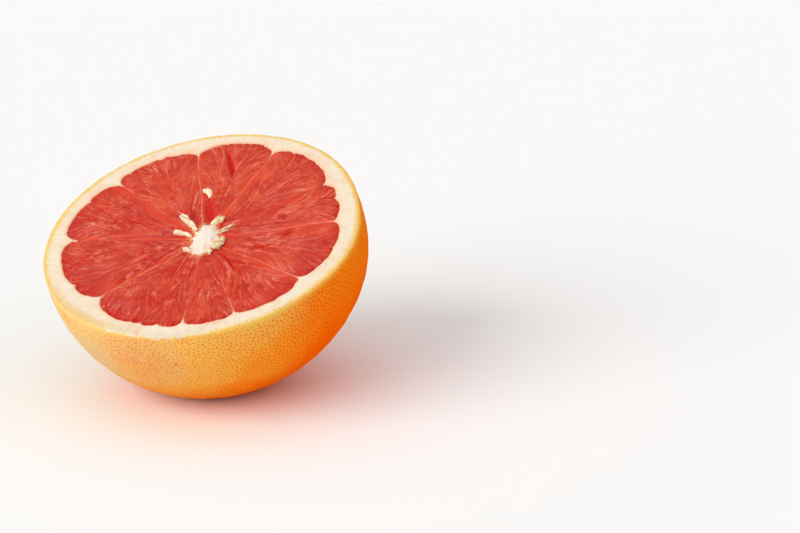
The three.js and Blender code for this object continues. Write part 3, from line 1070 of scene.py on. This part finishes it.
def rindMesh():
    side = rind["grid"]
    mesh = sheetMesh("rind_skin", side, side, rind["rimRings"], 1, endInTriangles=False)

    # the square grid becomes a disc of even cells, and the disc a bowl
    a, b, ring = placesOf(mesh).T
    a, b = 2 * a - 1, 2 * b - 1
    steep = np.abs(b) > np.abs(a)
    disc = np.where(steep, np.abs(b), np.abs(a))
    lesser = np.where(steep, a / np.where(b == 0, 1, b), b / np.where(a == 0, 1, a))
    sector = np.where(steep, np.sign(b) * (math.pi / 2), np.where(a < 0, math.pi, 0.0))
    around = sector + np.where(steep, -lesser, lesser) * math.pi / 4
    rimSwell = skinSwell(around, fruit["cutHeight"])
    edge = rind["edge"]
    latitude = np.arcsin((fruit["cutHeight"] - edge) / (fruit["radius"] + rimSwell))
    polar = disc * (math.pi / 2 + latitude)
    dip = fruit["blossomDepth"] * bell(fruit["radius"] * polar, fruit["blossomRadius"])
    radius = fruit["radius"] + skinSwell(around, -fruit["radius"] * np.cos(polar)) - dip
    x = radius * np.sin(polar) * np.cos(around)
    y = radius * np.sin(polar) * np.sin(around)
    z = -radius * np.cos(polar)

    glands, random = glandPlaces()
    size = random.uniform(0.0, 1.0, len(glands))
    tree = searchTree(glands)
    skin = directionsOf(np.stack([x, y, z], 1))
    apart = np.array([tree.find(point)[2] for point in skin]) * fruit["radius"]
    pit = bell(apart, rind["pitWidth"])
    push = 1 + (wander(x, y, rind["lumps"], z) - rind["pitDepth"] * pit) / radius
    x, y, z = x * push, y * push, z * push

    # the rim: rounded over, level across the peel, then down its inner face
    cut = fruit["cutHeight"]
    inside = peelInside(around, cut)
    outside = radius * push * np.sin(polar)
    steps = [
        (outside, cut - edge, 0.0),
        (outside - 0.1, cut - 0.1, 0.25),
        (outside - 0.35, cut + 0.03, 0.5),
        (0.5 * (outside + inside) - 0.1, cut + 0.04, 0.75),
        (inside + 0.02, cut + 0.02, 1.0),
        (inside - 0.05, cut + 0.01, 1.0),
        (inside - 0.12, cut - 0.15, 1.0),
        (inside - 0.15, cut - 1.5, 1.0),
        (0.8 * inside, -0.6 * fruit["radius"], 1.0),
    ]
    level = np.rint(ring).astype(int)
    acrossRim = np.zeros(len(x))
    for number, (far, height, share) in enumerate(steps):
        here = level == number
        if number:
            x = np.where(here, far * np.cos(around), x)
            y = np.where(here, far * np.sin(around), y)
            z = np.where(here, height - (0.1 * pit if number < 4 else 0), z)
        acrossRim = np.where(here, share, acrossRim)
    setPlaces(mesh, x, y, z)
    setAttributes(mesh, acrossRim=acrossRim)
    closeMesh(mesh)

    # each face takes the gland nearest to its middle, and each of its corners the way from that gland
    middles = np.empty(len(mesh.polygons) * 3, np.float32)
    mesh.polygons.foreach_get("center", middles)
    middles = directionsOf(middles.reshape(-1, 3).astype(float))
    owners = np.array([tree.find(point)[1] for point in middles])
    corners = np.empty(len(mesh.loops), np.int32)
    mesh.loops.foreach_get("vertex_index", corners)
    counts = np.empty(len(mesh.polygons), np.int32)
    mesh.polygons.foreach_get("loop_total", counts)
    owner = np.repeat(owners, counts)
    directions = directionsOf(placesOf(mesh))
    toGland = (directions[corners] - glands[owner]) * fruit["radius"]
    setAttributes(mesh, "CORNER", toGland=toGland, glandSize=size[owner])
    fromBlush = np.linalg.norm(directions * fruit["radius"] - rind["blushPlace"], axis=1)
    torn = raggedness(np.arctan2(directions[:, 1], directions[:, 0]))
    setAttributes(mesh, blushed=bell(fromBlush, rind["blushSize"]), torn=torn)
    return mesh


def waxedRind():
    numbers = ("glandSize", "acrossRim", "blushed", "torn")
    vectors = ("toGland", "fruitPlace")
    material, tree, inputs, read = newMaterial("waxed rind", rind["finish"], numbers, vectors)
    glandSize, across, blushed, torn = [read[name] for name in numbers]
    place = {0: read["fruitPlace"]}
    x, y, z = addNode(tree, "SeparateXYZ", {}, place)
    lying = addNode(tree, "TexCoord", {}, {})["Object"]
    _, _, low = addNode(tree, "SeparateXYZ", {}, {0: lying})

    # a gland's dot is 0.4 to 0.7 mm across with a soft edge
    fromGland = addNode(tree, "VectorMath", {"operation": "LENGTH"}, {0: read["toGland"]})["Value"]
    radius = addNode(tree, "MapRange", {3: 0.2, 4: 0.34}, {0: glandSize})[0]
    beyond = sumOf(tree, (fromGland, 1.0), (radius, -1.0))
    dot = (beyond, -0.22, 0.2, 0.85, 0.0)

    # the skin is deeper orange to +X and lower down than at the rim, in patches of about 30 mm with mottling
    # of
    # 0.5 mm: partly ripeness, partly painted shade and a painted orange reflection of neighbouring fruit
    broad = addNode(tree, "TexNoise", {"Scale": 0.035, "Detail": 3.0}, place)[0]
    fine = addNode(tree, "TexNoise", {"Scale": 2.0, "Detail": 3.0}, place)[0]
    orangeShift = sumOf(tree, (x, 1.0), (z, -0.6), (broad, 50.0))
    behind = maskOf(tree, (y, 0.0, 40.0, 0.0, 26.0))
    golden = maskOf(tree, (sumOf(tree, (orangeShift, 1.0), (behind, 1.0)), -5.0, 24.0, 0.0, 1.0))
    amber = maskOf(tree, (orangeShift, 30.0, 50.0, 0.0, 1.0))
    deepOrange = maskOf(tree, (orangeShift, 42.0, 66.0, 0.0, 1.0))
    notDeepOrange = (deepOrange, 0.0, 1.0, 1.0, 0.0)

    # the skin turns pale below the rim, lower down where it is deep orange or torn
    front = maskOf(tree, (y, -5.0, 25.0, 1.0, 0.0))
    deepOrangeFront = maskOf(tree, deepOrange, front)
    lowered = maskOf(tree, (front, 0.0, 1.0, -0.6, 0.0))
    belowRim = sumOf(tree, (z, 1.0), (torn, -1.2), (deepOrangeFront, -1.0), (lowered, 1.0))
    nearRim = (belowRim, -0.4, 2.2, 0.0, 0.85)
    left = ((x, -18.0, -36.0, 0.0, 0.85), (y, 5.0, -15.0, 0.0, 1.0))

    # where the knife tore the edge, scallops of pith about 2 mm wide reach over it
    scallop = addNode(tree, "TexNoise", {"Scale": 0.7, "Detail": 4.0, "Roughness": 0.65}, place)[0]
    overEdge = sumOf(tree, (z, 1.0), (scallop, 6.0), (torn, 1.2))
    # in the blush the freckles are about 1 mm apart
    freckle = addNode(tree, "TexVoronoi", {"Scale": 0.9}, place)["Distance"]

    layers = [
        (rind["golden"], golden),
        (rind["amber"], amber),
        # partly painted shade and painted reflected light: deeper orange to +X and lower down
        (rind["orange"], deepOrange),
        (rind["amber"], (z, -20.0, 0.0, 0.0, 0.55), deepOrange),
        (rind["paleGold"], (z, -10.0, 2.0, 0.0, 0.75), notDeepOrange),
        # painted shade: the skin is deeper orange within about 14 mm of the table
        (rind["underside"], (low, 0.002, 0.014, 0.9, 0.0)),
        (rind["paleGold"], (fine, 0.45, 0.7, 0.0, 0.3), notDeepOrange),
        (rind["amber"], (beyond, 0.0, 0.5, 0.35, 0.0), golden, notDeepOrange),
        (rind["blush"], (blushed, 0.2, 1.0, 0.0, 0.42)),
        (rind["blushDot"], (freckle, 0.2, 0.45, 0.55, 0.0), (blushed, 0.15, 0.8, 0.0, 1.0)),
        (rind["paleGland"], (fine, 0.3, 0.5, 0.3, 0.0)),
        (rind["paleGland"], dot, (amber, 0.0, 1.0, 1.0, 0.4)),
        (rind["gland"], dot, amber),
        (rind["rim"], nearRim),
        (rind["deepOrangeRim"], nearRim, deepOrangeFront),
        (rind["paleRim"], (belowRim, 0.6, 2.7, 0.0, 0.62), (y, -10.0, 20.0, 1.0, 0.0)),
        (rind["rimInside"], (across, 0.6, 1.0, 0.0, 0.65)),
        (rind["bevel"], (belowRim, -1.2, 1.5, 0.0, 1.0), *left),
        (rind["bared"], (across, 0.3, 0.8, 0.0, 0.85), (y, -46.0, -40.0, 1.0, 0.0)),
        (rind["cutGland"], dot, (across, 0.05, 0.3, 0.0, 0.9)),
        (rind["bared"], (overEdge, 5.6, 6.2, 0.0, 1.0), (torn, 0.2, 0.5, 0.0, 1.0)),
    ]
    for kind, middle, size, strength in rindMarks:
        away = addNode(tree, "VectorMath", {"operation": "DISTANCE", 1: middle}, place)["Value"]
        layers.append((rind[kind], (away, 0.4 * size, size, strength, 0.0)))
    layColours(tree, inputs, rind["yellow"], layers)

    height = {"Height": maskOf(tree, (beyond, -0.25, 0.3, 0.0, 1.0))}
    pitted = addNode(tree, "Bump", {"Strength": 0.6, "Distance": 0.00012}, height)[0]
    grained = {"Height": fine, "Normal": pitted}
    addNode(tree, "Bump", {"Strength": 0.3, "Distance": 0.00012}, grained, inputs["Normal"])
    return material


def makeRind():
    addPiece(rindMesh(), waxedRind(), ["rind"], lowest=0.0)
    print("rind")


# Undeveloped seeds: pale flat chips, dry and slightly shrivelled
seeds = {
    "colour": "#EFE2C2",
    "tan": "#D4A35C",
    "fleck": "#8E6A34",
    "split": "#7A4A22",
    "splitWidth": 0.2,
    "cuts": 15,
    "ball": 0.2,  # how much of a ball and of a box a chip is
    "box": 0.78,
    "finish": {
        "Roughness": 0.5,
        "Subsurface Weight": 0.3,
        "Subsurface Radius": (1.0, 0.8, 0.4),
        "Subsurface Scale": 0.0008,
    },
}
chipWords = ("root", "tip", "width", "thick", "lift", "bend", "tan", "split")
chipRows = [
    ((-2.3, -0.4), (-5.3, 3.5), 1.8, 1.0, 1.2, 0.1, 0.1, 0.0),
    ((-4.5, 2.8), (-7.6, 6.8), 1.9, 0.9, 1.6, -0.1, 0.25, 1.0),
    ((-3.6, -3.0), (-9.3, -0.5), 1.6, 1.1, 1.0, 0.25, 0.05, 0.0),
    ((-2.8, -11.2), (-5.9, -9.9), 1.3, 1.1, 1.0, 0.2, 0.2, 0.0),
    ((1.3, 16.6), (-0.4, 19.8), 2.1, 1.1, 1.2, 0.0, 0.1, 0.0),
    ((1.8, 1.6), (5.2, 4.0), 1.8, 1.0, 1.4, -0.3, 0.7, 0.8),
    ((2.8, 1.2), (6.4, 3.4), 1.4, 1.1, 1.0, 0.3, 0.8, 0.0),
    ((3.2, -2.6), (9.2, -0.6), 0.7, 0.6, 0.7, 0.1, 0.2, 0.0),
    ((3.4, -3.6), (7.6, -2.8), 0.7, 0.6, 0.6, 0.1, 0.2, 0.0),
    ((3.1, -6.8), (6.9, -8.0), 1.6, 1.2, 1.1, -0.2, 0.7, 0.8),
    ((3.0, -8.6), (6.0, -10.4), 1.8, 1.3, 0.9, 0.3, 0.8, 0.6),
    ((2.4, -8.8), (5.0, -11.6), 1.6, 1.3, 1.0, 0.2, 0.7, 0.0),
    ((1.4, -9.8), (2.8, -13.6), 1.3, 1.1, 0.8, -0.3, 0.5, 0.0),
]
seedChips = [dict(zip(chipWords, row)) for row in chipRows]


# A chip starts as a finely divided block, partly rounded, and is drawn out narrow at its root
def seedMesh(number, chip):
    drop = bmesh.new()
    bmesh.ops.create_cube(drop, size=2.0)
    bmesh.ops.subdivide_edges(drop, edges=drop.edges, cuts=seeds["cuts"], use_grid_fill=True)
    mesh = bpy.data.meshes.new(f"seed_{number + 1:02d}")
    drop.to_mesh(mesh)
    drop.free()
    box = placesOf(mesh)
    x, y, z = (seeds["ball"] * directionsOf(box) + seeds["box"] * box).T
    start, end = Vector(chip["root"]), Vector(chip["tip"])
    reach = end - start
    length = reach.length
    share = 0.5 + 0.5 * x
    narrow = 0.55 + 0.45 * np.clip(share * 1.6, 0, 1)
    ragged = np.tanh(wander(y * 2, z * 2, [(3, 2.2, 60 + number)]))
    along = x * length / 2 * (1 + 0.2 * ragged * share**2)
    across = y * narrow * chip["width"] / 2 + chip["bend"] * (along / length) ** 2 * 4
    up = z * narrow * chip["thick"] / 2
    crumple = np.tanh(wander(along, across, [(2.5, 2.4, 60 + number)], up))
    fold = np.tanh(wander(along * 0.4, across * 1.5, [(2.5, 1.6, 80 + number)], up))
    twist = np.tanh(wander(along, 0.0, [(2.5, 2.0, 100 + number)]))
    across = across * (1 + 0.14 * crumple) + 0.16 * twist
    up = up * (1 + 0.18 * crumple) + 0.14 * fold
    middle = (start + end) / 2
    dx, dy = reach / length
    lift = chip["lift"] * share + fruit["cutHeight"] - 0.2
    setPlaces(mesh, middle.x + along * dx - across * dy, middle.y + along * dy + across * dx, up + lift)
    slit = bell(y - wander(x * 2, 0.0, [(0.15, 1.5, 120 + number)]), seeds["splitWidth"])
    slit = slit * np.clip((share - 0.35) * 4, 0, 1) * np.clip((0.97 - share) * 8, 0, 1) * (z > 0)
    setAttributes(mesh, tan=np.full(len(x), chip["tan"]), split=slit * chip["split"])
    return mesh


def drySeed():
    numbers = ("tan", "split")
    material, tree, inputs, read = newMaterial("undeveloped seed", seeds["finish"], numbers, ["fruitPlace"])
    place = {0: read["fruitPlace"]}
    # shading in the folds is about 1.5 mm wide, flecks about 0.5 mm
    fold = addNode(tree, "TexNoise", {"Scale": 0.7, "Detail": 3.0}, place)[0]
    fleck = addNode(tree, "TexNoise", {"Scale": 1.5, "Detail": 1.0}, place)[0]
    layers = [
        (seeds["tan"], (fold, 0.4, 0.6, 0.0, 1.0), read["tan"]),
        (seeds["fleck"], (fleck, 0.68, 0.74, 0.0, 0.8)),
        (seeds["split"], read["split"]),
    ]
    layColours(tree, inputs, seeds["colour"], layers)
    addNode(tree, "Bump", {"Strength": 0.4, "Distance": 0.0002}, {"Height": fold}, inputs["Normal"])
    return material


def makeSeeds():
    material = drySeed()
    for number, chip in enumerate(seedChips):
        addPiece(seedMesh(number, chip), material, ["pith"])
    print("undeveloped seeds")


# A wide sheet of white paper under broad, even studio light: the lamps are so far off that it falls off
# nowhere
studio = {
    "floorSize": 12.0,
    "paper": "#F8FBFC",
    "finish": {"Roughness": 1.0, "Specular IOR Level": 0.0},
    "world": "#FFFFFF",
    "atHorizon": 0.12,
    "overhead": 0.91,
}

# Lamps, and small ones that only give sparkle to what is wet: name, where from, spread in degrees, strength
# and colour
lamps = [
    ("key", (-0.7, -0.5, 0.42), 50.0, 2.3, "#FFFCF8"),
    ("fill", (0.85, -0.45, 0.28), 60.0, 0.55, "#FFB48C"),
]
sparkles = [
    ("sparkle high", (-0.3, 0.26, 0.9), 3.0, 0.5, "#FFFFFF"),
    ("sparkle front", (-0.5, -0.35, 0.8), 3.0, 0.5, "#FFFFFF"),
]


def makeStudio():
    mesh = sheetMesh("floor", 8, 8)
    mesh.transform(Matrix.Scale(studio["floorSize"], 4) @ Matrix.Translation((-0.5, -0.5, 0)))
    material, tree, inputs, _ = newMaterial("white paper", studio["finish"])
    inputs["Base Color"].default_value = linear(studio["paper"])
    place = {0: addNode(tree, "TexCoord", {}, {})["Object"]}
    # the paper's tooth is about 2.5 mm
    tooth = addNode(tree, "TexNoise", {"Scale": 400.0, "Detail": 2.0}, place)[0]
    relief = {"Strength": 0.05, "Distance": 0.0002}
    addNode(tree, "Bump", relief, {"Height": tooth}, inputs["Normal"])
    mesh.materials.append(material)
    addObject("floor", mesh)

    world = bpy.data.worlds.new("studio")
    world.use_nodes = True
    sky = world.node_tree
    background = sky.nodes["Background"].inputs
    background[0].default_value = linear(studio["world"])
    towards = addNode(sky, "TexCoord", {}, {})["Generated"]
    _, _, upwards = addNode(sky, "SeparateXYZ", {}, {0: towards})
    brightness = {3: studio["atHorizon"], 4: studio["overhead"]}
    addNode(sky, "MapRange", brightness, {0: upwards}, background[1])
    scene.world = world
    for lamp in lamps + sparkles:
        name, place, spread, strength, colour = lamp
        light = bpy.data.lights.new(name, "SUN")
        light.angle = math.radians(spread)
        light.energy = strength
        light.color = linear(colour)[:3]
        holder = addObject(name, light)
        holder.location = place
        holder.rotation_euler = Vector(place).to_track_quat("Z", "Y").to_euler()
        holder.visible_diffuse = lamp in lamps
    print("studio")


# The lens stands 0.6 m off, 18 degrees up, and the fruit lies left of the middle of its view
view = {"lens": 85.0, "sensor": 36.0, "elevation": 18.0, "right": -61.57, "up": 9.98, "forward": 600.68}


def makeCamera():
    data = bpy.data.cameras.new("camera")
    data.lens = view["lens"]
    data.sensor_width = view["sensor"]
    data.sensor_fit = "HORIZONTAL"
    turn = Euler((math.radians(90 - view["elevation"]), 0, 0))
    offset = Vector((view["right"], view["up"], -view["forward"])) * millimetre
    offset.rotate(turn)
    holder = addObject("camera", data)
    holder.location = fruitPlace().translation - offset
    holder.rotation_euler = turn
    scene.camera = holder
    print("camera")


makeCamera()
makeStudio()
makeRind()
makePith()
makePulp()
makeSeeds()
scene.view_settings.view_transform = "Standard"
